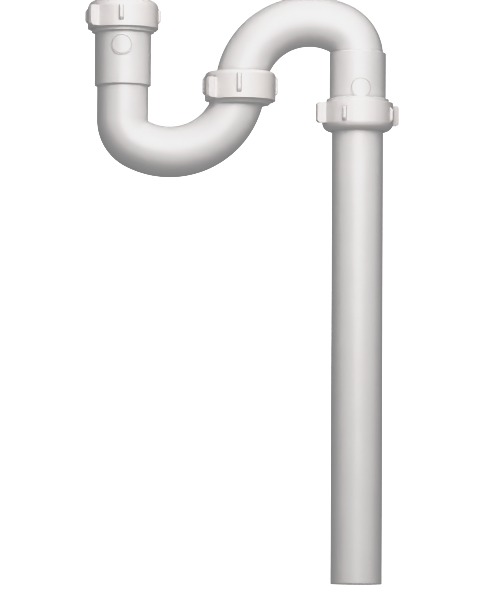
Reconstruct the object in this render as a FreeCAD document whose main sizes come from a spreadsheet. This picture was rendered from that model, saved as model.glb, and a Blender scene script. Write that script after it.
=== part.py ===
import FreeCAD, Part
import math
import os

import Sketcher

# A slip-joint S trap for a 1-1/2 inch drain, in millimetres. The origin is on the inlet axis, at the
# top of the straight socket wall, just under the bevel that the washer seats in. +Z is up, +X runs
# from the inlet towards the outlet, and both bends lie in the XZ plane.

DIMENSIONS = (
    ("tube_diameter", 38.1, "outside of every plain tube"),
    ("tube_wall", 1.65, "wall of every plain tube"),
    ("hub_length", 18.9, "slip hub, from its mouth to its shoulder"),
    ("hub_shoulder", 0.6, "slope under a hub"),
    ("socket_clearance", 0.25, "radial, tube in socket"),
    ("socket_wall", 1.7, "wall of the sockets"),
    ("socket_shoulder", 0.8, "slope from socket down to tube"),
    ("socket_floor", 4.5, "from the socket's inner stop to its outer end"),
    ("bevel_depth", 4.8, "washer seat in a hub's mouth"),
    ("bevel_width", 2.7, "radial width of that seat"),
    ("hub_rim", 1.3, "wall of a hub round that seat"),
    ("thread_lead", 0.6, "broken edge where a hub or a nut starts on its thread"),
    ("j_socket_bore", 50.0, "straight wall of the inlet socket"),
    ("j_leg", 29.2, "straight run below the inlet socket's stop"),
    ("j_tight_inside", 1.14, "inside radius of the trap bend's tight arc"),
    ("j_sweep_inside", 33.47, "inside radius of the trap bend's wide arc"),
    ("j_turn", 27.33, "angle where the two arcs of the trap bend meet"),
    ("union_hub_length", 17.0, "threaded hub at the trap bend's outlet, with its slope"),
    ("union_slope_height", 2.7, "slope under that hub, along its axis"),
    ("union_slope_width", 1.5, "slope under that hub, across"),
    ("s_socket_bore", 45.0, "straight wall of the outlet socket"),
    ("s_leg", 1.07, "straight run behind the outlet socket's stop"),
    ("s_tight_inside", 4.6, "inside radius of the over-bend's tight arc"),
    ("s_sweep_inside", 32.55, "inside radius of the over-bend's wide arc"),
    ("s_turn", 26.04, "angle where the two arcs of the over-bend meet"),
    ("s_trim", 7.95, "how far short of upright the over-bend is cut at the union"),
    ("collar_thickness", 3.0, "collar of the over-bend that the union nut pulls down"),
    ("collar_clearance", 0.25, "radial, collar in union nut"),
    ("nut_wall", 2.8, "round body of the nuts, outside their thread"),
    ("nut_height", 21.5, "nuts, end to end"),
    ("nut_lip", 2.2, "thickness of a nut's closed end"),
    ("nut_land", 0.5, "flat ring left round a nut's hole"),
    ("thread_clearance", 0.3, "radial, hub in nut"),
    ("slip_hole_clearance", 0.55, "radial, tube in a slip nut"),
    ("union_hole_clearance", 3.45, "radial, bent tube in the union nut"),
    ("lug_height", 7.0, "wing lugs, out from the nut's body"),
    ("lug_thickness", 3.4, "wing lugs, across"),
    ("lug_start", 0.6, "wing lugs, up from the nut's open end"),
    ("lug_length", 15.4, "wing lugs, along the axis"),
    ("lug_corner", 1.2, "cut corners of the wing lugs"),
    ("rib_height", 2.0, "grip ribs, out from the nut's body"),
    ("rib_thickness", 3.2, "grip ribs, across"),
    ("rib_start", 4.1, "grip ribs, up from the nut's open end"),
    ("rib_run_out", 0.4, "grip ribs, past the start of the nut's round shoulder"),
    ("rib_angle", 45.0, "first grip rib, round from a lug"),
    ("washer_flange", 3.0, "flat part of a slip washer"),
    ("washer_nose", 3.8, "tapered part of a slip washer"),
    ("washer_bore_clearance", 0.07, "radial, tube in a slip washer"),
    ("washer_seat_clearance", 0.25, "radial, slip washer's taper in its bevel"),
    ("washer_rim_clearance", 0.7, "radial, washers in their nuts"),
    ("union_washer_thickness", 2.0, "flat washer between the bends"),
    ("union_washer_clearance", 0.9, "radial, waterway in the union washer"),
    ("tube_length", 381.0, "outlet tube, end to end"),
    ("tube_insertion", 39.2, "outlet tube, inside its socket's mouth"),
    ("tube_taper", 0.25, "radial, lead-in taper of the tube's upper end"),
    ("tube_margin", 1.0, "tube at full size above the outlet nut's face"),
    ("tube_edge", 0.6, "broken outer edges of the tube"),
    ("inlet_nut_turn", -136.5, "where the inlet nut's lugs stand"),
    ("union_nut_turn", -136.5, "where the union nut's lugs stand"),
    ("outlet_nut_turn", -157.0, "where the outlet nut's lugs stand"),
)

LUGS = 2
RIBS = 4
FULL_TURN = 360
HALF_TURN = 180
SAME_PLACE = 1e-3

document = FreeCAD.newDocument("s_trap")
sheet = document.addObject("Spreadsheet::Sheet", "sizes")
for row, (alias, size, note) in enumerate(DIMENSIONS, start=1):
    sheet.set(f"A{row}", note)
    sheet.set(f"B{row}", str(size))
    sheet.setAlias(f"B{row}", alias)
document.recompute()

# Radii and levels that several pieces share, as formulas of the sheet's cells
TUBE_R = "(sizes.tube_diameter / 2)"
BORE_R = f"({TUBE_R} - sizes.tube_wall)"
SOCKET_BORE_R = f"({TUBE_R} + sizes.socket_clearance)"
SOCKET_R = f"({SOCKET_BORE_R} + sizes.socket_wall)"
BEVEL_R = f"({SOCKET_BORE_R} + sizes.bevel_width)"
HUB_R = f"({BEVEL_R} + sizes.hub_rim)"
NUT_BORE_R = f"({HUB_R} + sizes.thread_clearance)"
NUT_R = f"({NUT_BORE_R} + sizes.nut_wall)"
WASHER_R = f"({NUT_BORE_R} - sizes.washer_rim_clearance)"
COLLAR_R = f"({NUT_BORE_R} - sizes.collar_clearance)"


def arc_radius(bend, arc):
    """Radius of a bend's tight or wide arc, along its centreline."""
    return f"({TUBE_R} + sizes.{bend}_{arc}_inside)"


def offset_of(bend):
    """Distance from a bend's socket axis to its union axis."""
    sweep = arc_radius(bend, "sweep")
    tight = arc_radius(bend, "tight")
    return f"({sweep} + {tight} + ({sweep} - {tight}) * sin(sizes.{bend}_turn))"


def level_of(bend):
    """Height at which a bend's wide arc stands upright, in the bend's own frame."""
    radii = f"({arc_radius(bend, 'sweep')} - {arc_radius(bend, 'tight')})"
    rise = f"{radii} * cos(sizes.{bend}_turn)"
    return f"({rise} - sizes.{bend}_socket_bore - sizes.{bend}_leg)"


S_FACE = f"({level_of('s')} - sizes.s_trim)"
COLLAR_FACE_Z = f"({level_of('j')} + sizes.union_washer_thickness)"
OUTLET_X = f"({offset_of('j')} + {offset_of('s')})"
OUTLET_Z = f"({COLLAR_FACE_Z} + {S_FACE})"
SLIP_STACK = "(sizes.bevel_depth + sizes.washer_flange + sizes.nut_lip)"


def number(formula):
    return float(sheet.evalExpression(str(formula)))


def volume_of(body):
    return 0.0 if body.Shape.isNull() else body.Shape.Volume


def compare(feature, before, adds):
    """Stop if a feature that should add or remove material does not."""
    change = feature.Shape.Volume - before
    if (change > 0) is not adds:
        raise ValueError(f"{feature.Name} changes the volume by {change:.1f} mm3")
    return feature


def origin_part(body, role):
    return next(part for part in body.Origin.OriginFeatures if part.Role == role)


def new_body(name):
    body = document.addObject("PartDesign::Body", name)
    body.Label = name
    return body


def place(body, x="0", z="0", turn="0", flip=None):
    """Put a body at x, z, turned about its own axis, or upside down about X or Y and then turned."""
    upside_down = FreeCAD.Rotation(flip, HALF_TURN) if flip else FreeCAD.Rotation()
    about_axis = FreeCAD.Rotation(FreeCAD.Vector(0, 0, 1), number(turn))
    body.Placement = FreeCAD.Placement(FreeCAD.Vector(), about_axis * upside_down)
    body.setExpression("Placement.Base.x", x)
    body.setExpression("Placement.Base.z", z)


def new_sketch(body, name, plane, lift=None, turn=None):
    """A sketch on one of the body's own planes, lifted off it or turned about its upright."""
    sketch = body.newObject("Sketcher::SketchObject", name)
    sketch.AttachmentSupport = [(origin_part(body, plane), "")]
    sketch.MapMode = "FlatFace"
    if turn:
        sketch.AttachmentOffset = FreeCAD.Placement(
            FreeCAD.Vector(), FreeCAD.Rotation(FreeCAD.Vector(0, 1, 0), number(turn))
        )
    if lift:
        sketch.setExpression("AttachmentOffset.Base.z", lift)
    return sketch


def bind(sketch, constraint, formula):
    index = sketch.addConstraint(constraint)
    sketch.setExpression(f"Constraints[{index}]", formula)


def pin_point(sketch, geometry, end, x, y):
    """Hold a point at x, y from the sketch's origin."""
    bind(sketch, Sketcher.Constraint("DistanceX", -1, 1, geometry, end, number(x)), x)
    bind(sketch, Sketcher.Constraint("DistanceY", -1, 1, geometry, end, number(y)), y)


def outline(body, name, corners, turn=None):
    """A closed outline in the body's XZ plane, through corners given as formulas."""
    sketch = new_sketch(body, name, "XZ_Plane", turn=turn)
    points = [FreeCAD.Vector(number(x), number(y), 0) for x, y in corners]
    following = points[1:] + points[:1]
    for start, end in zip(points, following):
        sketch.addGeometry(Part.LineSegment(start, end), False)
    for index, (x, y) in enumerate(corners):
        after = (index + 1) % len(corners)
        sketch.addConstraint(Sketcher.Constraint("Coincident", index, 2, after, 1))
        pin_point(sketch, index, 1, x, y)
    return sketch


def disc(body, name, radius, x="0", lift=None):
    """A circle in a level plane."""
    sketch = new_sketch(body, name, "XY_Plane", lift=lift)
    middle = FreeCAD.Vector(number(x), 0, 0)
    sketch.addGeometry(Part.Circle(middle, FreeCAD.Vector(0, 0, 1), number(radius)), False)
    bind(sketch, Sketcher.Constraint("Radius", 0, number(radius)), radius)
    pin_point(sketch, 0, 3, x, "0")
    return sketch


def turned(body, kind, name, corners):
    """Revolve an outline about the body's own upright axis, as added or removed material."""
    before = volume_of(body)
    feature = body.newObject(f"PartDesign::{kind}", name)
    feature.Profile = outline(body, f"{name}_outline", corners)
    feature.ReferenceAxis = (origin_part(body, "Z_Axis"), [""])
    feature.Angle = FULL_TURN
    document.recompute()
    return compare(feature, before, adds=kind == "Revolution")


def extruded(body, kind, name, sketch, length, sides="One side", reverse=False):
    before = volume_of(body)
    feature = body.newObject(f"PartDesign::{kind}", name)
    feature.Profile = sketch
    feature.SideType = sides
    feature.Reversed = reverse
    feature.setExpression("Length", length)
    document.recompute()
    return compare(feature, before, adds=kind == "Pad")


def bend_path(body, bend):
    """The bend's centreline: down from the socket's stop, a tight arc, then a wide arc up to level."""
    tight = arc_radius(bend, "tight")
    sweep = arc_radius(bend, "sweep")
    turn = f"sizes.{bend}_turn"
    top = f"-sizes.{bend}_socket_bore"
    foot = f"(-sizes.{bend}_socket_bore - sizes.{bend}_leg)"
    join_x = f"({tight} - {tight} * sin({turn}))"
    join_z = f"({foot} - {tight} * cos({turn}))"
    level = level_of(bend)
    offset = offset_of(bend)

    def arc(start, middle, radius, end):
        centre = FreeCAD.Vector(number(middle[0]), number(middle[1]), 0)
        circle = Part.Circle(centre, FreeCAD.Vector(0, 0, 1), number(radius))
        first = circle.parameter(FreeCAD.Vector(number(start[0]), number(start[1]), 0))
        last = circle.parameter(FreeCAD.Vector(number(end[0]), number(end[1]), 0))
        return Part.ArcOfCircle(circle, first, last if last > first else last + math.tau)

    sketch = new_sketch(body, f"{bend}_path", "XZ_Plane")
    sketch.addGeometry(
        Part.LineSegment(FreeCAD.Vector(0, number(top), 0), FreeCAD.Vector(0, number(foot), 0)), False
    )
    sketch.addGeometry(arc(("0", foot), (tight, foot), tight, (join_x, join_z)), False)
    centre = (f"({offset} - {sweep})", level)
    sketch.addGeometry(arc((join_x, join_z), centre, sweep, (offset, level)), False)
    pin_point(sketch, 0, 1, "0", top)
    pin_point(sketch, 0, 2, "0", foot)
    sketch.addConstraint(Sketcher.Constraint("Tangent", 0, 2, 1, 1))
    bind(sketch, Sketcher.Constraint("Radius", 1, number(tight)), tight)
    bind(sketch, Sketcher.Constraint("DistanceX", -1, 1, 1, 2, number(join_x)), join_x)
    sketch.addConstraint(Sketcher.Constraint("Tangent", 1, 2, 2, 1))
    bind(sketch, Sketcher.Constraint("Radius", 2, number(sweep)), sweep)
    sketch.addConstraint(Sketcher.Constraint("Horizontal", 2, 3, 2, 2))
    return sketch


def swept(body, kind, name, path, radius, start):
    before = volume_of(body)
    feature = body.newObject(f"PartDesign::{kind}", name)
    feature.Profile = disc(body, f"{name}_section", radius, lift=start)
    feature.Spine = (path, [""])
    document.recompute()
    return compare(feature, before, adds=kind == "AdditivePipe")


def bend_tube(body, bend):
    """The bend's outer tube, with the slip hub and socket at its upper end, still solid inside."""
    end = f"(sizes.{bend}_socket_bore + sizes.socket_floor)"
    hub_foot = "(sizes.bevel_depth - sizes.hub_length)"
    step = f"({SOCKET_R} - {TUBE_R})"
    path = bend_path(body, bend)
    swept(body, "AdditivePipe", f"{bend}_tube", path, TUBE_R, f"-sizes.{bend}_socket_bore")
    turned(
        body,
        "Revolution",
        f"{bend}_socket",
        (
            ("0", "sizes.bevel_depth"),
            (f"({HUB_R} - sizes.thread_lead)", "sizes.bevel_depth"),
            (HUB_R, "(sizes.bevel_depth - sizes.thread_lead)"),
            (HUB_R, hub_foot),
            (SOCKET_R, f"({hub_foot} - sizes.hub_shoulder)"),
            (SOCKET_R, f"(sizes.socket_shoulder - {end})"),
            (f"({SOCKET_R} - 2 * {step})", f"(-{end} - sizes.socket_shoulder)"),
            ("0", f"(-{end} - sizes.socket_shoulder)"),
        ),
    )
    return path


def bend_waterway(body, bend, path):
    """The bore along the bend, and the socket with the bevelled washer seat in its mouth."""
    stop = f"-sizes.{bend}_socket_bore"
    swept(body, "SubtractivePipe", f"{bend}_bore", path, BORE_R, stop)
    turned(
        body,
        "Groove",
        f"{bend}_socket_bore",
        (
            ("0", "sizes.bevel_depth"),
            (BEVEL_R, "sizes.bevel_depth"),
            (SOCKET_BORE_R, "0"),
            (SOCKET_BORE_R, stop),
            ("0", stop),
        ),
    )


def make_j_bend():
    body = new_body("j_bend")
    path = bend_tube(body, "j")
    straight = "(sizes.union_hub_length - sizes.union_slope_height)"
    hub = disc(body, "union_hub_section", HUB_R, offset_of("j"), level_of("j"))
    extruded(body, "Pad", "union_hub", hub, straight, reverse=True)
    foot = disc(body, "union_slope_section", HUB_R, offset_of("j"), f"({level_of('j')} - {straight})")
    slope = extruded(body, "Pad", "union_slope", foot, "sizes.union_slope_height", reverse=True)
    slope.setExpression("TaperAngle", "-atan(sizes.union_slope_width / sizes.union_slope_height)")
    document.recompute()
    bend_waterway(body, "j", path)
    return body


def make_s_bend():
    """Made like the trap bend, then stood on its head, with its union end cut off to a flat collar."""
    body = new_body("s_bend")
    path = bend_tube(body, "s")
    collar = disc(body, "collar_section", COLLAR_R, offset_of("s"), S_FACE)
    extruded(body, "Pad", "collar", collar, "sizes.collar_thickness", reverse=True)
    bend_waterway(body, "s", path)
    trim = disc(body, "union_trim_section", COLLAR_R, offset_of("s"), S_FACE)
    extruded(body, "Pocket", "union_trim", trim, "(2 * sizes.s_trim)", reverse=True)
    place(body, OUTLET_X, OUTLET_Z, flip=FreeCAD.Vector(0, 1, 0))
    return body


def round_edge(body, name, base, radius, height, size):
    """Round the circular edge of this radius at this height."""
    target = number(height)
    rim = number(radius)
    for index, edge in enumerate(base.Shape.Edges, start=1):
        curve = edge.Curve
        if isinstance(curve, Part.Circle) and math.isclose(curve.Radius, rim, abs_tol=SAME_PLACE):
            if math.isclose(curve.Center.z, target, abs_tol=SAME_PLACE):
                fillet = body.newObject("PartDesign::Fillet", name)
                fillet.Base = (base, [f"Edge{index}"])
                fillet.setExpression("Radius", size)
                document.recompute()
                return fillet
    raise ValueError(f"{name}: no edge of radius {rim} at height {target}")


def grips(body, name, first, reach, thickness, low, high, corner, count):
    """Blades that stand out from the nut's round body, spaced evenly round it."""
    root = f"({NUT_R} - sizes.nut_wall / 2)"
    crest = f"({NUT_R} + {reach})"
    profile = outline(
        body,
        f"{name}_outline",
        (
            (root, low),
            (f"({crest} - {corner})", low),
            (crest, f"({low} + {corner})"),
            (crest, f"({high} - {corner})"),
            (f"({crest} - {corner})", high),
            (root, high),
        ),
        turn=first,
    )
    blade = extruded(body, "Pad", name, profile, thickness, sides="Symmetric")
    pattern = body.newObject("PartDesign::PolarPattern", f"{name}_pattern")
    pattern.Originals = [blade]
    pattern.Axis = (origin_part(body, "Z_Axis"), [""])
    pattern.Angle = FULL_TURN
    pattern.Occurrences = count
    body.Tip = pattern
    document.recompute()
    return compare(pattern, blade.Shape.Volume, adds=True)


def make_nut(name, hole_clearance):
    """A nut with its open end at height 0: round shoulder, two wing lugs and four grip ribs."""
    hole = f"({TUBE_R} + {hole_clearance})"
    ceiling = "(sizes.nut_height - sizes.nut_lip)"
    body = new_body(name)
    shell = turned(
        body,
        "Revolution",
        f"{name}_shell",
        (
            (NUT_BORE_R, "sizes.thread_lead"),
            (f"({NUT_BORE_R} + sizes.thread_lead)", "0"),
            (NUT_R, "0"),
            (NUT_R, "sizes.nut_height"),
            (hole, "sizes.nut_height"),
            (hole, ceiling),
            (NUT_BORE_R, ceiling),
        ),
    )
    shoulder = f"({NUT_R} - {hole} - sizes.nut_land)"
    round_edge(body, f"{name}_shoulder", shell, NUT_R, "sizes.nut_height", shoulder)
    lug_top = "(sizes.lug_start + sizes.lug_length)"
    grips(
        body, f"{name}_lug", "0", "sizes.lug_height", "sizes.lug_thickness",
        "sizes.lug_start", lug_top, "sizes.lug_corner", LUGS,
    )
    rib_top = f"(sizes.nut_height - {shoulder} + sizes.rib_run_out)"
    grips(
        body, f"{name}_rib", "sizes.rib_angle", "sizes.rib_height", "sizes.rib_thickness",
        "sizes.rib_start", rib_top, "(sizes.rib_height / 2)", RIBS,
    )
    return body


def make_slip_washer(name):
    """A tapered washer: height 0 is the hub's mouth, the flat flange above it, the taper below."""
    bore = f"({TUBE_R} + sizes.washer_bore_clearance)"
    seat = f"({BEVEL_R} - sizes.washer_seat_clearance)"
    tip = f"({seat} - sizes.bevel_width * sizes.washer_nose / sizes.bevel_depth)"
    body = new_body(name)
    turned(
        body,
        "Revolution",
        f"{name}_ring",
        (
            (bore, "sizes.washer_flange"),
            (WASHER_R, "sizes.washer_flange"),
            (WASHER_R, "0"),
            (seat, "0"),
            (tip, "-sizes.washer_nose"),
            (bore, "-sizes.washer_nose"),
        ),
    )
    return body


def make_union_washer():
    inner = f"({BORE_R} + sizes.union_washer_clearance)"
    body = new_body("union_washer")
    turned(
        body,
        "Revolution",
        "union_washer_ring",
        (
            (inner, "0"),
            (WASHER_R, "0"),
            (WASHER_R, "sizes.union_washer_thickness"),
            (inner, "sizes.union_washer_thickness"),
        ),
    )
    place(body, offset_of("j"), level_of("j"))
    return body


def make_outlet_tube():
    """Height 0 is the tube's lower end. Above the outlet nut it tapers slightly, to slide in."""
    hidden = "(sizes.tube_insertion + sizes.washer_flange + sizes.nut_lip + sizes.tube_margin)"
    straight = f"(sizes.tube_length - {hidden})"
    top_r = f"({TUBE_R} - sizes.tube_taper)"
    edge = "sizes.tube_edge"
    body = new_body("outlet_tube")
    turned(
        body,
        "Revolution",
        "outlet_tube_wall",
        (
            (BORE_R, "0"),
            (f"({TUBE_R} - {edge})", "0"),
            (TUBE_R, edge),
            (TUBE_R, straight),
            (top_r, f"(sizes.tube_length - {edge})"),
            (f"({top_r} - {edge})", "sizes.tube_length"),
            (BORE_R, "sizes.tube_length"),
        ),
    )
    mouth = f"({OUTLET_Z} - sizes.bevel_depth)"
    place(body, OUTLET_X, f"({mouth} + sizes.tube_insertion - sizes.tube_length)")
    return body


def make_parts():
    upside_down = FreeCAD.Vector(1, 0, 0)
    inlet_nut = make_nut("inlet_nut", "sizes.slip_hole_clearance")
    place(inlet_nut, "0", f"({SLIP_STACK} - sizes.nut_height)", "sizes.inlet_nut_turn")
    inlet_washer = make_slip_washer("inlet_washer")
    place(inlet_washer, "0", "sizes.bevel_depth")
    union_nut = make_nut("union_nut", "sizes.union_hole_clearance")
    union_top = f"({COLLAR_FACE_Z} + sizes.collar_thickness + sizes.nut_lip)"
    place(union_nut, offset_of("j"), f"({union_top} - sizes.nut_height)", "sizes.union_nut_turn")
    outlet_nut = make_nut("outlet_nut", "sizes.slip_hole_clearance")
    outlet_face = f"({OUTLET_Z} - {SLIP_STACK})"
    place(outlet_nut, OUTLET_X, f"({outlet_face} + sizes.nut_height)", "sizes.outlet_nut_turn", upside_down)
    outlet_washer = make_slip_washer("outlet_washer")
    place(outlet_washer, OUTLET_X, f"({OUTLET_Z} - sizes.bevel_depth)", flip=upside_down)
    return (
        make_j_bend(),
        make_s_bend(),
        make_outlet_tube(),
        make_union_washer(),
        inlet_nut,
        inlet_washer,
        union_nut,
        outlet_nut,
        outlet_washer,
    )


parts = make_parts()
document.recompute()
failed = [item.Name for item in document.Objects if {"Invalid", "Error"} & set(item.State)]
if failed:
    raise RuntimeError(f"failed features: {failed}")
for part in parts:
    shape = part.Shape
    if shape.isNull() or not shape.isValid() or len(shape.Solids) != 1:
        raise RuntimeError(f"{part.Label} is not one valid solid")

os.makedirs("parts", exist_ok=True)
for part in parts:
    part.Shape.exportStep(f"parts/{part.Label}.step")
    box = part.Shape.BoundBox
    low = f"{box.XMin:.2f} {box.YMin:.2f} {box.ZMin:.2f}"
    high = f"{box.XMax:.2f} {box.YMax:.2f} {box.ZMax:.2f}"
    print(f"{part.Label}: {part.Shape.Volume:.0f} mm3, from {low} to {high}")
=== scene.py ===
import math
from collections import namedtuple

import bmesh
import bpy
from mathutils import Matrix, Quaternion, Vector


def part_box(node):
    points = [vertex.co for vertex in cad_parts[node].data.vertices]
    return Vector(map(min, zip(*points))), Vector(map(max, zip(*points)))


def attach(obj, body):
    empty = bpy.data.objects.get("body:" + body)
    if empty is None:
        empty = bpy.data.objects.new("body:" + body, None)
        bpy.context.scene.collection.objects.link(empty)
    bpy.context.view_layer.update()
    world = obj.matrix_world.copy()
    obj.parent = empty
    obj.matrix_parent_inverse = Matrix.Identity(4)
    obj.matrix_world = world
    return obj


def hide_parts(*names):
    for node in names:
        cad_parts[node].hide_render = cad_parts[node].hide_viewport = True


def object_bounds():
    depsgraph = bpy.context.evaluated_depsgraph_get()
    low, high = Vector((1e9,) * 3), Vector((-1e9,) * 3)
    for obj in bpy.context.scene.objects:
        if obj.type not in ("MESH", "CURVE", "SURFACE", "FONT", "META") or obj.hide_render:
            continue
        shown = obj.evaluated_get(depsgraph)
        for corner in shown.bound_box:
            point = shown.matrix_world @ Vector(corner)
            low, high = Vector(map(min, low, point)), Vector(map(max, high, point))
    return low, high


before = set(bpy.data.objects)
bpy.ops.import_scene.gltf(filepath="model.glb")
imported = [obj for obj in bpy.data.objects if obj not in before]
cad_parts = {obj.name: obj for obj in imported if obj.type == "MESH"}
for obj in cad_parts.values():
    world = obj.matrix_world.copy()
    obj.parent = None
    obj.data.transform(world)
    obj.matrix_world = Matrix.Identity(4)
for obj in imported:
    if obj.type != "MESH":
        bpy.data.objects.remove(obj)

CAD_LOW, CAD_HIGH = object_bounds()
MM = 0.001

# Places read from the frame
TUBE_LOW, TUBE_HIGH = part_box("outlet_tube")
OUTLET_X = (TUBE_LOW.x + TUBE_HIGH.x) / 2
UNION_LOW, UNION_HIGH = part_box("union_washer")
UNION_X = (UNION_LOW.x + UNION_HIGH.x) / 2
TRAP_MOUTH_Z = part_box("j_bend")[1].z
OUTLET_MOUTH_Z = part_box("s_bend")[0].z

# Sizes of the mouldings, the same as the solids have
TUBE_R = 19.05 * MM
BORE_R = TUBE_R - 1.65 * MM
SOCKET_BORE_R = TUBE_R + 0.25 * MM
SOCKET_R = SOCKET_BORE_R + 1.7 * MM
BEVEL_R = SOCKET_BORE_R + 2.7 * MM
BEVEL_DEPTH = 4.8 * MM
HUB_R = BEVEL_R + 1.3 * MM
HUB_LENGTH = 18.9 * MM
HUB_SHOULDER = 0.6 * MM
SOCKET_FLOOR = 4.5 * MM
SOCKET_SHOULDER = 0.8 * MM
THREAD_LEAD = 0.6 * MM
NUT_BORE_R = HUB_R + 0.3 * MM
NUT_R = NUT_BORE_R + 2.8 * MM
NUT_HEIGHT = 21.5 * MM
NUT_CEILING = NUT_HEIGHT - 2.2 * MM
NUT_LAND = 0.5 * MM
COLLAR_R = NUT_BORE_R - 0.25 * MM
SLIP_HOLE_R = TUBE_R + 0.55 * MM
UNION_HOLE_R = TUBE_R + 3.45 * MM
LUG_TURN = {"inlet_nut": -136.5, "union_nut": -136.5, "outlet_nut": -157.0}
TUBE_EDGE = 0.6 * MM
TUBE_TAPER = 0.25 * MM
TUBE_HIDDEN = 45.4 * MM

# The thread: 11.5 turns to the inch, right-handed, the same helix on hubs and nuts
PITCH = 25.4 / 11.5 * MM
CREST_HALF = 0.14
ROOT_HALF = 0.27
HUB_CREST = 0.15 * MM
HUB_ROOT = -0.45 * MM
NUT_CREST = -0.4 * MM
NUT_ROOT = 0.1 * MM
THREAD_STEP = PITCH / 10
HUB_THREAD_END = 14.0 * MM
NUT_THREAD_START = 3.5 * MM
NUT_THREAD_END = 13.6 * MM
THREAD_FADE = 0.9 * MM
HUB_SHIFT = 0.0
NUT_SHIFT = 0.5

# How finely the skins are divided
COLUMNS = 128
ARC_STEPS = 72
SLOPE_STEPS = 8
WALL_STEPS = 6
TUBE_STEPS = 12
SHOULDER_STEPS = 14

# Softened edges: a corner's middle point lies these shares of the edge in from the sharp corner
SOFT_EDGE = 0.35 * MM
CORNER_IN = 0.3
CORNER_ALONG = 0.25
SHARP_ANGLE = math.radians(32)

# A bend: its socket, its two arcs, and the hub or collar of its union end
Bend = namedtuple(
    "Bend",
    "socket_bore leg tight sweep turn trim"
    " end_length end_radius slope_height slope_width threaded",
)
TRAP = Bend(
    socket_bore=50.0 * MM,
    leg=29.2 * MM,
    tight=TUBE_R + 1.14 * MM,
    sweep=TUBE_R + 33.47 * MM,
    turn=math.radians(27.33),
    trim=0.0,
    end_length=17.0 * MM,
    end_radius=HUB_R,
    slope_height=2.7 * MM,
    slope_width=1.5 * MM,
    threaded=True,
)
OVER = Bend(
    socket_bore=45.0 * MM,
    leg=1.07 * MM,
    tight=TUBE_R + 4.6 * MM,
    sweep=TUBE_R + 32.55 * MM,
    turn=math.radians(26.04),
    trim=7.95 * MM,
    end_length=3.0 * MM,
    end_radius=COLLAR_R,
    slope_height=0.0,
    slope_width=0.0,
    threaded=False,
)


# Mesh building

def closed_grid(name, rings, capped=False):
    """A closed skin through rings of equally many points.

    The last ring joins the first, or flat caps close both ends.
    """
    mesh = bmesh.new()
    rows = [[mesh.verts.new(point) for point in ring] for ring in rings]
    next_rows = rows[1:] if capped else rows[1:] + rows[:1]
    for row, following in zip(rows, next_rows):
        count = len(row)
        for index in range(count):
            after = (index + 1) % count
            mesh.faces.new((row[index], row[after], following[after], following[index]))
    if capped:
        mesh.faces.new(rows[0])
        mesh.faces.new(rows[-1])
    bmesh.ops.recalc_face_normals(mesh, faces=mesh.faces)
    data = bpy.data.meshes.new(name)
    mesh.to_mesh(data)
    mesh.free()
    for face in data.polygons:
        face.use_smooth = True
    data.set_sharp_from_angle(angle=SHARP_ANGLE)
    piece = bpy.data.objects.new(name, data)
    bpy.context.collection.objects.link(piece)
    weighted = piece.modifiers.new("weighted_normals", "WEIGHTED_NORMAL")
    weighted.keep_sharp = True
    return piece


def column_angles(count=COLUMNS):
    return [math.tau * index / count for index in range(count)]


def level_ring(axis_x, radius, height, angles):
    return [
        Vector((axis_x + radius * math.cos(angle), radius * math.sin(angle), height))
        for angle in angles
    ]


def steps(first, last, count):
    return [first + (last - first) * index / count for index in range(count + 1)]


def ridge(turns, low, high):
    """Height of the thread: high on the crest around each whole turn, low in the root."""
    away = abs(turns - round(turns))
    share = (ROOT_HALF - away) / (ROOT_HALF - CREST_HALF)
    return low + (high - low) * min(1.0, max(0.0, share))


def cut_thread(ring, axis_x, low, high, shift, strength, ceiling=None):
    """Move a level ring's points in or out to the helix, by strength from 0 to 1."""
    moved = []
    for point in ring:
        across = Vector((point.x - axis_x, point.y, 0.0))
        turns = point.z / PITCH - math.atan2(across.y, across.x) / math.tau + shift
        radius = across.length + strength * ridge(turns, low, high)
        if ceiling is not None:
            radius = min(radius, ceiling)
        out = across.normalized() * radius
        moved.append(Vector((axis_x + out.x, out.y, point.z)))
    return moved


def fade(place, start, end):
    """1 inside a stretch, falling to 0 over the fade length at each end."""
    inside = min(place - start, end - place)
    return min(1.0, max(0.0, inside / THREAD_FADE))


# The two bends

def arc_point(bend, radius, column, turned):
    """A point of the bend's skin, after the path has turned by this angle."""
    swept_on = turned > math.pi / 2 - bend.turn
    curve = bend.sweep if swept_on else bend.tight
    foot = -bend.socket_bore - bend.leg
    centre_x = bend.tight
    centre_z = foot
    if swept_on:
        centre_x += (bend.sweep - bend.tight) * math.sin(bend.turn)
        centre_z += (bend.sweep - bend.tight) * math.cos(bend.turn)
    reach = curve - radius * math.cos(column)
    return Vector(
        (
            centre_x - reach * math.cos(turned),
            radius * math.sin(column),
            centre_z - reach * math.sin(turned),
        )
    )


def union_offset(bend):
    """From the socket's axis to the union's."""
    return bend.sweep + bend.tight + (bend.sweep - bend.tight) * math.sin(bend.turn)


def union_level(bend):
    """Height at which the wide arc stands upright, from the top of the socket's straight wall."""
    return (bend.sweep - bend.tight) * math.cos(bend.turn) - bend.socket_bore - bend.leg


def start_turn(bend, radius, column, depth):
    """How far the path turns until this side of the skin is depth below the start of the bend."""
    return math.asin(depth / (bend.tight - radius * math.cos(column)))


def end_turn(bend, radius, column, depth):
    """How far the path turns until this side of the skin is depth below the upright end."""
    return math.pi - math.asin(depth / (bend.sweep - radius * math.cos(column)))


def arc_rings(bend, radius, entry, depth):
    """Rings round the bend, from a level cut near its start to one under its upright end."""
    angles = column_angles()
    starts = [start_turn(bend, radius, column, entry) for column in angles]
    ends = [end_turn(bend, radius, column, depth) for column in angles]
    return [
        [
            arc_point(bend, radius, column, first + (last - first) * index / ARC_STEPS)
            for column, first, last in zip(angles, starts, ends)
        ]
        for index in range(ARC_STEPS + 1)
    ]


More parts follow.
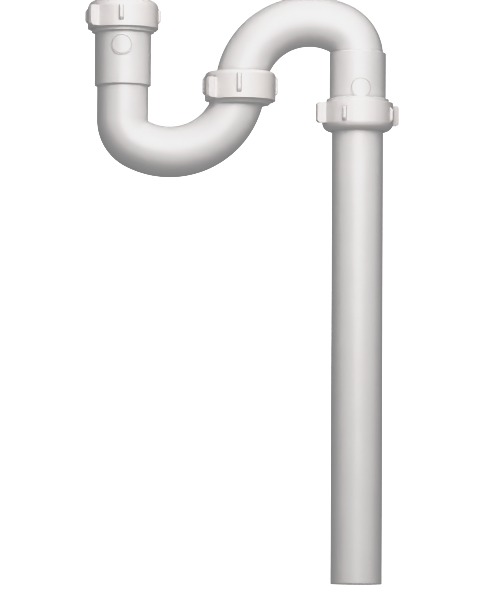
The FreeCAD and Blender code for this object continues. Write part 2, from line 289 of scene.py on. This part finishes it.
def tube_ring(bend, turn_at, depth):
    """The outside of the tube, cut level at this depth below the start or the end of the bend."""
    return [
        arc_point(bend, TUBE_R, column, turn_at(bend, TUBE_R, column, depth))
        for column in column_angles()
    ]


def outermost(ring, other, axis_x):
    """Of two matching rings, the points that are farther from the axis."""

    def reach(point):
        return math.hypot(point.x - axis_x, point.y)

    return [max(pair, key=reach) for pair in zip(ring, other)]


def union_ring(bend, radius, depth):
    """A level ring round the union axis, matching the columns of the bend's skin."""
    offset = union_offset(bend)
    level = union_level(bend)
    return [
        Vector((offset - radius * math.cos(column), radius * math.sin(column), level - depth))
        for column in column_angles()
    ]


def slope_rings(bend):
    """The slope under the union hub, from its foot up, with the tube coming out through it."""
    foot = bend.trim + bend.end_length
    rings = []
    for up in steps(0.0, 1.0, SLOPE_STEPS):
        depth = foot - up * bend.slope_height
        ring = union_ring(bend, bend.end_radius - (1.0 - up) * bend.slope_width, depth)
        rings.append(outermost(ring, tube_ring(bend, end_turn, depth), union_offset(bend)))
    return rings


def hub_rings(mouth, ring_at, place, axis_x):
    """The threaded outside of a hub, from its mouth down, placed in the frame."""
    rings = []
    for depth in steps(0.0, HUB_THREAD_END, round(HUB_THREAD_END / THREAD_STEP)):
        ring = place(ring_at(HUB_R, mouth - depth))
        strength = min(1.0, (HUB_THREAD_END - depth) / THREAD_FADE)
        ceiling = max(HUB_R - THREAD_LEAD + depth, BEVEL_R)
        rings.append(cut_thread(ring, axis_x, HUB_ROOT, HUB_CREST, HUB_SHIFT, strength, ceiling))
    return rings


def soft_step(wide, narrow, start, drop):
    """(radius, height) pairs down a slope between two straight walls, with softened corners."""
    soft = drop * SOFT_EDGE / (wide - narrow)
    return [
        (wide, start + SOFT_EDGE),
        (wide - CORNER_IN * SOFT_EDGE, start + CORNER_ALONG * SOFT_EDGE),
        (wide - SOFT_EDGE, start - soft),
        (narrow + SOFT_EDGE, start - drop + soft),
        (narrow + CORNER_IN * SOFT_EDGE, start - drop - CORNER_ALONG * SOFT_EDGE),
        (narrow, start - drop - SOFT_EDGE),
    ]


def bend_skin(name, bend, place, socket_axis_x, union_axis_x):
    """The whole skin of a bend: hub, socket, arcs and union end, then back along the bore."""
    angles = column_angles()
    stop = -bend.socket_bore
    outer_end = stop - SOCKET_FLOOR
    hub_foot = BEVEL_DEPTH - HUB_LENGTH
    foot = stop - bend.leg
    end_foot = bend.trim + bend.end_length

    def around_socket(radius, height):
        return level_ring(0.0, radius, height, angles)

    def around_union(radius, height):
        return union_ring(bend, radius, -height)

    rings = hub_rings(BEVEL_DEPTH, around_socket, place, socket_axis_x)
    wall = soft_step(HUB_R, SOCKET_R, hub_foot, HUB_SHOULDER)
    wall += soft_step(SOCKET_R, TUBE_R, outer_end + SOCKET_SHOULDER, SOCKET_SHOULDER)
    neck_end = outer_end - SOFT_EDGE
    entry = max(0.0, foot - neck_end)
    if entry == 0.0:
        wall += [(TUBE_R, height) for height in steps(neck_end, foot, WALL_STEPS)[1:-1]]
    else:
        wall.pop()
    outside = []
    for radius, height in wall:
        ring = around_socket(radius, height)
        if height < foot:
            ring = outermost(ring, tube_ring(bend, start_turn, foot - height), 0.0)
        outside.append(ring)
    if bend.threaded:
        outside += arc_rings(bend, TUBE_R, entry, end_foot + SOFT_EDGE)
        outside += slope_rings(bend)
        rings += [place(ring) for ring in outside]
        rings += hub_rings(0.0, around_union, place, union_axis_x)[::-1]
    else:
        outside += arc_rings(bend, TUBE_R, entry, end_foot)
        rim = (
            (bend.end_radius - SOFT_EDGE, end_foot),
            (bend.end_radius, end_foot - SOFT_EDGE),
            (bend.end_radius, bend.trim + SOFT_EDGE),
            (bend.end_radius - SOFT_EDGE, bend.trim),
        )
        outside += [union_ring(bend, radius, depth) for radius, depth in rim]
        rings += [place(ring) for ring in outside]
    inside = arc_rings(bend, BORE_R, 0.0, bend.trim)[::-1]
    inside += [around_socket(BORE_R, height) for height in steps(foot, stop, WALL_STEPS)[1:]]
    inside += [around_socket(SOCKET_BORE_R, height) for height in steps(stop, 0.0, WALL_STEPS)]
    inside.append(around_socket(BEVEL_R, BEVEL_DEPTH))
    rings += [place(ring) for ring in inside]
    return closed_grid(name, rings)


def make_trap_skin():
    shift = TRAP_MOUTH_Z - BEVEL_DEPTH

    def place(ring):
        return [Vector((point.x, point.y, point.z + shift)) for point in ring]

    return bend_skin("trap_bend_skin", TRAP, place, 0.0, UNION_X)


def make_over_skin():
    """The over-bend is the same moulding stood on its head, with its socket on the outlet axis."""
    height = OUTLET_MOUTH_Z + BEVEL_DEPTH

    def place(ring):
        return [Vector((OUTLET_X - point.x, point.y, height - point.z)) for point in ring]

    return bend_skin("over_bend_skin", OVER, place, OUTLET_X, UNION_X)


# The nuts

Blade = namedtuple("Blade", "half height start length corner edge fillet")
LUG = Blade(
    half=1.7 * MM,
    height=7.0 * MM,
    start=0.6 * MM,
    length=15.4 * MM,
    corner=1.2 * MM,
    edge=0.4 * MM,
    fillet=1.6 * MM,
)
RIB_START = 4.1 * MM
RIB_RUN_OUT = 0.4 * MM
RIB_PLACES = (45, 135, 225, 315)
LUG_PLACES = (0, 180)
STEEP = 0.02 * MM
GAP_COLUMNS = 12
FILLET_STEPS = 4


def shoulder_of(hole):
    """Radius of the round shoulder that is left outside a nut's hole."""
    return NUT_R - hole - NUT_LAND


def rib_of(hole):
    """A grip rib, which runs up to the start of the nut's round shoulder."""
    return Blade(
        half=1.6 * MM,
        height=2.0 * MM,
        start=RIB_START,
        length=NUT_HEIGHT - shoulder_of(hole) + RIB_RUN_OUT - RIB_START,
        corner=1.0 * MM,
        edge=1.2 * MM,
        fillet=0.4 * MM,
    )


def blade_heights(blade):
    """How far a blade stands out, along the nut's axis, as (place, height) pairs."""
    side = blade.height - blade.corner
    soft = blade.edge / 2
    rise = (
        (0.0, 0.0),
        (STEEP, side - blade.edge),
        (soft, side),
        (blade.corner - soft, blade.height - blade.edge),
        (blade.corner + blade.edge, blade.height),
    )
    up = [(blade.start + along, height) for along, height in rise]
    down = [(blade.start + blade.length - along, height) for along, height in reversed(rise)]
    return up + down


def height_at(pairs, place):
    """Height of a blade at one place along the axis, straight between its pairs."""
    if place <= pairs[0][0] or place >= pairs[-1][0]:
        return 0.0
    for (low, first), (high, last) in zip(pairs, pairs[1:]):
        if low <= place <= high:
            return first + (last - first) * (place - low) / (high - low)
    return 0.0


def blade_section(blade):
    """Half of a blade's section from foot to crest: (across, share of height, rounding)."""
    soft = blade.edge
    wide = blade.half + blade.fillet
    quarter = steps(0.0, math.pi / 2, FILLET_STEPS)
    foot = [
        (wide - blade.fillet * math.sin(turn), 0.0, blade.fillet * (1.0 - math.cos(turn)))
        for turn in quarter
    ]
    crest = [
        (blade.half - soft * (1.0 - math.cos(turn)), 1.0, -soft * (1.0 - math.sin(turn)))
        for turn in quarter
    ]
    return foot + crest


def nut_columns(rib):
    """Columns round the nut: (middle angle, across, blade, share of height, rounding)."""
    blades = [(degrees, LUG) for degrees in LUG_PLACES]
    blades += [(degrees, rib) for degrees in RIB_PLACES]
    blades.sort()
    columns = []
    for index, (degrees, blade) in enumerate(blades):
        middle = math.radians(degrees)
        section = blade_section(blade)
        columns += [(middle, -across, blade, share, soft) for across, share, soft in section]
        columns += [
            (middle, across, blade, share, soft) for across, share, soft in reversed(section)
        ]
        next_degrees, following = blades[(index + 1) % len(blades)]
        first = middle + math.asin((blade.half + blade.fillet) / NUT_R)
        end = math.radians(next_degrees) - math.asin((following.half + following.fillet) / NUT_R)
        end += math.tau if end < first else 0.0
        columns += [(angle, 0.0, None, 0.0, 0.0) for angle in steps(first, end, GAP_COLUMNS)[1:-1]]
    return columns


def nut_point(column, radius, place, heights):
    """A point of the nut's outside, in its own frame with the open end at height 0."""
    middle, across, blade, share, soft = column
    stand = 0.0
    if blade is not None and heights[blade] > 0.0:
        stand = max(0.0, min(share * heights[blade] + soft, heights[blade]))
    out = math.sqrt(radius * radius - across * across) + stand
    cosine = math.cos(middle)
    sine = math.sin(middle)
    return Vector((out * cosine - across * sine, out * sine + across * cosine, place))


def nut_outside(hole, rib):
    """(radius, place) pairs up the outside, over the round shoulder and down through the hole."""
    shoulder = shoulder_of(hole)
    centre = NUT_HEIGHT - shoulder
    body = {SOFT_EDGE, centre}
    for blade in (LUG, rib):
        body.update(place for place, _ in blade_heights(blade))
    body.update(steps(LUG.start + LUG.corner, centre, WALL_STEPS))
    start = CORNER_IN * SOFT_EDGE
    outside = [(NUT_R - SOFT_EDGE, 0.0), (NUT_R - start, start)]
    outside += [(NUT_R, place) for place in sorted(body) if place <= centre]
    late = [place for place in sorted(body) if place > centre]
    quarter = steps(0.0, math.pi / 2, SHOULDER_STEPS)
    arc = [centre + shoulder * math.sin(angle) for angle in quarter[1:]]
    for place in sorted(set(late + arc)):
        across = math.sqrt(max(0.0, shoulder**2 - (place - centre) ** 2))
        outside.append((hole + NUT_LAND + across, place))
    soft = NUT_LAND / 2
    outside += [(hole + soft, NUT_HEIGHT), (hole, NUT_HEIGHT - soft), (hole, NUT_CEILING)]
    return outside


def make_nut(node, hole, axis_x, upside_down):
    """A wing nut: closed skin with rounded blades outside and the thread inside."""
    low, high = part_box(node)
    turn = math.radians(LUG_TURN[node])
    rib = rib_of(hole)
    lug_pairs = blade_heights(LUG)
    rib_pairs = blade_heights(rib)
    columns = nut_columns(rib)
    bases = [middle + math.asin(across / NUT_R) for middle, across, *_ in columns]

    def placed(ring):
        cosine = math.cos(turn)
        sine = math.sin(turn)
        height = [high.z - point.z if upside_down else low.z + point.z for point in ring]
        return [
            Vector((axis_x + p.x * cosine - p.y * sine, p.x * sine + p.y * cosine, z))
            for p, z in zip(ring, height)
        ]

    rings = []
    for radius, place in nut_outside(hole, rib):
        heights = {LUG: height_at(lug_pairs, place), rib: height_at(rib_pairs, place)}
        rings.append(placed([nut_point(column, radius, place, heights) for column in columns]))
    thread = steps(NUT_CEILING, THREAD_LEAD, round((NUT_CEILING - THREAD_LEAD) / THREAD_STEP))
    for place in thread:
        strength = fade(place, NUT_THREAD_START, NUT_THREAD_END)
        ring = placed(level_ring(0.0, NUT_BORE_R, place, bases))
        rings.append(cut_thread(ring, axis_x, NUT_ROOT, NUT_CREST, NUT_SHIFT, strength))
    rings.append(placed(level_ring(0.0, NUT_BORE_R + THREAD_LEAD, 0.0, bases)))
    return closed_grid(f"{node}_skin", rings)


# The outlet tube

def make_tube_skin():
    low = TUBE_LOW.z
    high = TUBE_HIGH.z
    angles = column_angles()
    wide_to = high - TUBE_HIDDEN
    top_r = TUBE_R - TUBE_TAPER
    soft = CORNER_IN * TUBE_EDGE
    profile = [
        (BORE_R, low + soft),
        (BORE_R + soft, low),
        (TUBE_R - TUBE_EDGE, low),
        (TUBE_R - soft, low + soft),
        (TUBE_R, low + TUBE_EDGE),
    ]
    profile += [(TUBE_R, height) for height in steps(low + 2 * TUBE_EDGE, wide_to, TUBE_STEPS)]
    profile += [(top_r, high - TUBE_EDGE), (top_r - TUBE_EDGE, high), (BORE_R, high)]
    profile += [(BORE_R, height) for height in steps(high, low, TUBE_STEPS)[1:-1]]
    rings = [level_ring(OUTLET_X, radius, height, angles) for radius, height in profile]
    return closed_grid("outlet_tube_skin", rings)


# Plain round pads moulded on the front of the two sockets, each with a groove inside its rim

PAD_R = 8.0 * MM
PAD_RISE = 0.6 * MM
PAD_SUNK = 0.5 * MM
PAD_COLUMNS = 72
PAD_EDGE = 0.2 * MM
GROOVE_OUTER = PAD_R - 0.7 * MM
GROOVE_INNER = PAD_R - 1.3 * MM
GROOVE_FLOOR = 0.32 * MM
PAD_SHARES = (0.1, 0.3, 0.55, 0.78)
INLET_PAD_Z = -25.0 * MM
INLET_PAD_TURN = -1.5
OUTLET_PAD_Z = -56.5 * MM
OUTLET_PAD_TURN = 5.5


def make_pad(name, axis_x, height, turn):
    """A thin raised disc that follows the socket's round wall, facing the front."""
    front = math.radians(-90 + turn)
    soft = CORNER_IN * PAD_EDGE
    back = [(PAD_R * share, -PAD_SUNK) for share in PAD_SHARES]
    rim = [
        (PAD_R, -PAD_SUNK),
        (PAD_R, PAD_RISE - PAD_EDGE),
        (PAD_R - soft, PAD_RISE - soft),
        (PAD_R - PAD_EDGE, PAD_RISE),
    ]
    groove = [
        (GROOVE_OUTER + soft, PAD_RISE),
        (GROOVE_OUTER, PAD_RISE - soft),
        (GROOVE_OUTER - soft, GROOVE_FLOOR),
        (GROOVE_INNER + soft, GROOVE_FLOOR),
        (GROOVE_INNER, PAD_RISE - soft),
        (GROOVE_INNER - soft, PAD_RISE),
    ]
    disc = [(PAD_R * share, PAD_RISE) for share in reversed(PAD_SHARES)]
    rings = []
    for reach, rise in back + rim + groove + disc:
        radius = SOCKET_R + rise
        ring = []
        for angle in column_angles(PAD_COLUMNS):
            around = front + reach * math.cos(angle) / SOCKET_R
            up = height + reach * math.sin(angle)
            ring.append(Vector((axis_x + radius * math.cos(around), radius * math.sin(around), up)))
        rings.append(ring)
    return closed_grid(name, rings, capped=True)


# Materials

# Painted shade: an ambient occlusion node darkens the base colour in creases and between close
# walls
CREASE_REACH = 3.5 * MM
CREASE_SHADE = 0.55
CREASE_SAMPLES = 8
CLOUD_SCALE = 38.0
SMEAR_SCALE = 240.0
SKIN_SCALE = 900.0
SKIN_DEPTH = 0.05 * MM
PLASTIC_IOR = 1.49
FLOOR_SCALE = 2.0
FLOOR_TONES = ((0.78, 0.78, 0.78), (0.82, 0.82, 0.82))
FLOOR_GLOW = 0.6


def new_material(name):
    material = bpy.data.materials.new(name)
    material.use_nodes = True
    nodes = material.node_tree.nodes
    return material, nodes, material.node_tree.links, nodes["Principled BSDF"]


def noise(nodes, links, place, scale, detail):
    texture = nodes.new("ShaderNodeTexNoise")
    texture.inputs["Scale"].default_value = scale
    texture.inputs["Detail"].default_value = detail
    links.new(place.outputs["Object"], texture.inputs["Vector"])
    return texture


def between(nodes, links, source, low, high):
    """Spread a texture's middle values between two numbers."""
    spread = nodes.new("ShaderNodeMapRange")
    spread.inputs["From Min"].default_value = 0.3
    spread.inputs["From Max"].default_value = 0.7
    spread.inputs["To Min"].default_value = low
    spread.inputs["To Max"].default_value = high
    links.new(source.outputs["Fac"], spread.inputs["Value"])
    return spread


def two_tones(nodes, links, source, first, second):
    ramp = nodes.new("ShaderNodeValToRGB")
    ramp.color_ramp.elements[0].position = 0.35
    ramp.color_ramp.elements[0].color = (*first, 1.0)
    ramp.color_ramp.elements[1].position = 0.65
    ramp.color_ramp.elements[1].color = (*second, 1.0)
    links.new(source.outputs["Fac"], ramp.inputs["Fac"])
    return ramp


def painted_crease_shade(nodes, links, tone):
    """The tone, with painted shade darkening it where two walls come close together."""
    open_sky = nodes.new("ShaderNodeAmbientOcclusion")
    open_sky.samples = CREASE_SAMPLES
    open_sky.only_local = True
    open_sky.inputs["Distance"].default_value = CREASE_REACH
    depth = nodes.new("ShaderNodeMapRange")
    depth.inputs["From Min"].default_value = 0.3
    depth.inputs["From Max"].default_value = 0.9
    depth.inputs["To Min"].default_value = CREASE_SHADE
    depth.inputs["To Max"].default_value = 1.0
    links.new(open_sky.outputs["AO"], depth.inputs["Value"])
    shade = nodes.new("ShaderNodeVectorMath")
    shade.operation = "SCALE"
    links.new(tone.outputs["Color"], shade.inputs[0])
    links.new(depth.outputs["Result"], shade.inputs["Scale"])
    return shade.outputs["Vector"]


def moulded_plastic(name, tones, roughness, peel, gloss):
    """White moulded plastic: faint clouding, uneven gloss, a fine orange-peel skin, and painted
    shade in its creases.
    """
    material, nodes, links, shader = new_material(name)
    place = nodes.new("ShaderNodeTexCoord")
    cloud = noise(nodes, links, place, CLOUD_SCALE, detail=4.0)
    tone = two_tones(nodes, links, cloud, *tones)
    # The base colour carries painted shade in its creases
    links.new(painted_crease_shade(nodes, links, tone), shader.inputs["Base Color"])
    smear = noise(nodes, links, place, SMEAR_SCALE, detail=3.0)
    rough = between(nodes, links, smear, *roughness)
    links.new(rough.outputs["Result"], shader.inputs["Roughness"])
    skin = noise(nodes, links, place, SKIN_SCALE, detail=2.0)
    bump = nodes.new("ShaderNodeBump")
    bump.inputs["Strength"].default_value = peel
    bump.inputs["Distance"].default_value = SKIN_DEPTH
    links.new(skin.outputs["Fac"], bump.inputs["Height"])
    links.new(bump.outputs["Normal"], shader.inputs["Normal"])
    shader.inputs["IOR"].default_value = PLASTIC_IOR
    shader.inputs["Specular IOR Level"].default_value = gloss
    return material


def floor_material():
    material, nodes, links, shader = new_material("pale_floor")
    place = nodes.new("ShaderNodeTexCoord")
    cloud = noise(nodes, links, place, FLOOR_SCALE, detail=2.0)
    tone = two_tones(nodes, links, cloud, *FLOOR_TONES)
    links.new(tone.outputs["Color"], shader.inputs["Base Color"])
    shader.inputs["Roughness"].default_value = 0.7
    shader.inputs["Emission Color"].default_value = (1.0, 1.0, 1.0, 1.0)
    shader.inputs["Emission Strength"].default_value = FLOOR_GLOW
    return material


PIPE = moulded_plastic(
    "pipe_white",
    tones=((0.821, 0.806, 0.803), (0.831, 0.816, 0.813)),
    roughness=(0.33, 0.345),
    peel=0.03,
    gloss=0.45,
)
NUT = moulded_plastic(
    "nut_white",
    tones=((0.856, 0.831, 0.822), (0.866, 0.841, 0.832)),
    roughness=(0.33, 0.345),
    peel=0.03,
    gloss=0.45,
)
WASHER = moulded_plastic(
    "washer_soft_white",
    tones=((0.74, 0.75, 0.73), (0.80, 0.81, 0.79)),
    roughness=(0.45, 0.6),
    peel=0.15,
    gloss=0.4,
)


# Pieces on their bodies

def dress(piece, body, material, node=None):
    piece.data.materials.append(material)
    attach(piece, body)
    if node:
        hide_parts(node)


dress(make_trap_skin(), "trap_bend", PIPE, "j_bend")
dress(make_over_skin(), "over_bend", PIPE, "s_bend")
dress(make_tube_skin(), "outlet_tube", PIPE, "outlet_tube")
for node, hole, axis_x, upside_down in (
    ("inlet_nut", SLIP_HOLE_R, 0.0, False),
    ("union_nut", UNION_HOLE_R, UNION_X, False),
    ("outlet_nut", SLIP_HOLE_R, OUTLET_X, True),
):
    dress(make_nut(node, hole, axis_x, upside_down), node, NUT, node)
for name, body, axis_x, height, turn in (
    ("inlet_socket_pad", "trap_bend", 0.0, INLET_PAD_Z, INLET_PAD_TURN),
    ("outlet_socket_pad", "over_bend", OUTLET_X, OUTLET_PAD_Z, OUTLET_PAD_TURN),
):
    dress(make_pad(name, axis_x, height, turn), body, PIPE)
for washer in ("inlet_washer", "union_washer", "outlet_washer"):
    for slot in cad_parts[washer].material_slots:
        slot.material = WASHER


# Floor, light and camera

FLOOR_DROP = 0.75
FLOOR_R = 90.0


def make_floor():
    rim = level_ring(0.0, FLOOR_R, CAD_LOW.z - FLOOR_DROP, column_angles())
    data = bpy.data.meshes.new("floor")
    data.from_pydata(rim, [], [range(COLUMNS)])
    data.materials.append(floor_material())
    floor = bpy.data.objects.new("floor", data)
    bpy.context.collection.objects.link(floor)
    floor.visible_diffuse = False
    floor.visible_glossy = False


def soft_box(name, aim, bearing, height, distance, size, power):
    """An area light aimed at a point, from a bearing round it and a height, both in degrees."""
    bearing = math.radians(bearing)
    height = math.radians(height)
    away = Vector(
        (
            math.sin(bearing) * math.cos(height),
            -math.cos(bearing) * math.cos(height),
            math.sin(height),
        )
    )
    data = bpy.data.lights.new(name, "AREA")
    data.shape = "RECTANGLE"
    data.size, data.size_y = size
    data.energy = power
    lamp = bpy.data.objects.new(name, data)
    lamp.location = aim + away * distance
    lamp.rotation_euler = away.to_track_quat("Z", "Y").to_euler()
    lamp.visible_camera = False
    bpy.context.collection.objects.link(lamp)
    return lamp


def make_world(seen, lit):
    """White behind the object, and a dimmer even light on it."""
    world = bpy.data.worlds.new("studio")
    bpy.context.scene.world = world
    world.use_nodes = True
    nodes = world.node_tree.nodes
    links = world.node_tree.links
    path = nodes.new("ShaderNodeLightPath")
    level = nodes.new("ShaderNodeMapRange")
    level.inputs["To Min"].default_value = lit
    level.inputs["To Max"].default_value = seen
    links.new(path.outputs["Is Camera Ray"], level.inputs["Value"])
    links.new(level.outputs["Result"], nodes["Background"].inputs["Strength"])
    nodes["Background"].inputs["Color"].default_value = (1.0, 1.0, 1.0, 1.0)


AIM = Vector((95.6 * MM, 0.0, -213.3 * MM))
CAMERA_BACK = 3.83
CAMERA_DROP = 0.2735
FRAME_HEIGHT = 445.8 * MM
SENSOR = 36.0
CAMERA_ROLL = math.radians(0.28)
FAR_CLIP = 100.0


def make_camera():
    data = bpy.data.cameras.new("camera")
    data.sensor_width = SENSOR
    camera = bpy.data.objects.new("camera", data)
    camera.location = AIM + Vector((0.0, -CAMERA_BACK, -CAMERA_DROP))
    sight = AIM - camera.location
    data.lens = SENSOR * sight.length / FRAME_HEIGHT
    data.clip_end = FAR_CLIP
    facing = sight.to_track_quat("-Z", "Y")
    camera.rotation_euler = (facing @ Quaternion((0.0, 0.0, 1.0), CAMERA_ROLL)).to_euler()
    bpy.context.collection.objects.link(camera)
    bpy.context.scene.camera = camera


# Where the lamps point
MIDDLE = Vector((90.0 * MM, 0.0, -150.0 * MM))
UPPER = Vector((110.0 * MM, 0.0, -90.0 * MM))
TUBE_FOOT = Vector((150.0 * MM, 0.0, -380.0 * MM))
make_floor()
make_world(seen=1.7, lit=0.268)
soft_box("key", MIDDLE, bearing=12, height=26, distance=1.48, size=(1.1, 1.3), power=9.0)
soft_box("near", UPPER, bearing=0, height=26, distance=0.95, size=(0.55, 0.95), power=3.25)
soft_box("top", MIDDLE, bearing=4, height=76, distance=1.4, size=(1.1, 0.9), power=2.35)
soft_box("fill", TUBE_FOOT, bearing=4, height=-6, distance=1.1, size=(0.6, 0.6), power=1.8)
back = soft_box("back", MIDDLE, bearing=184, height=14, distance=1.48, size=(0.9, 1.3), power=16.0)
back.visible_glossy = False
make_camera()

# Scene brightness against shown brightness, on the curve that all three colours share
SHARED_CURVE = 3
TONE = (
    (0.0, 0.0),
    (0.24, 0.2),
    (0.46, 0.295),
    (0.55, 0.38),
    (0.64, 0.52),
    (0.74, 0.655),
    (0.85, 0.815),
    (0.93, 0.868),
    (1.45, 0.893),
    (1.7, 1.04),
)


def set_tone():
    """A soft shoulder: bright plastic stays just under the white of the background."""
    settings = bpy.context.scene.view_settings
    settings.view_transform = "Standard"
    settings.use_curve_mapping = True
    mapping = settings.curve_mapping
    mapping.use_clip = False
    curve = mapping.curves[SHARED_CURVE]
    curve.points[0].location = TONE[0]
    curve.points[1].location = TONE[-1]
    for place in TONE[1:-1]:
        curve.points.new(*place)
    mapping.update()


set_tone()
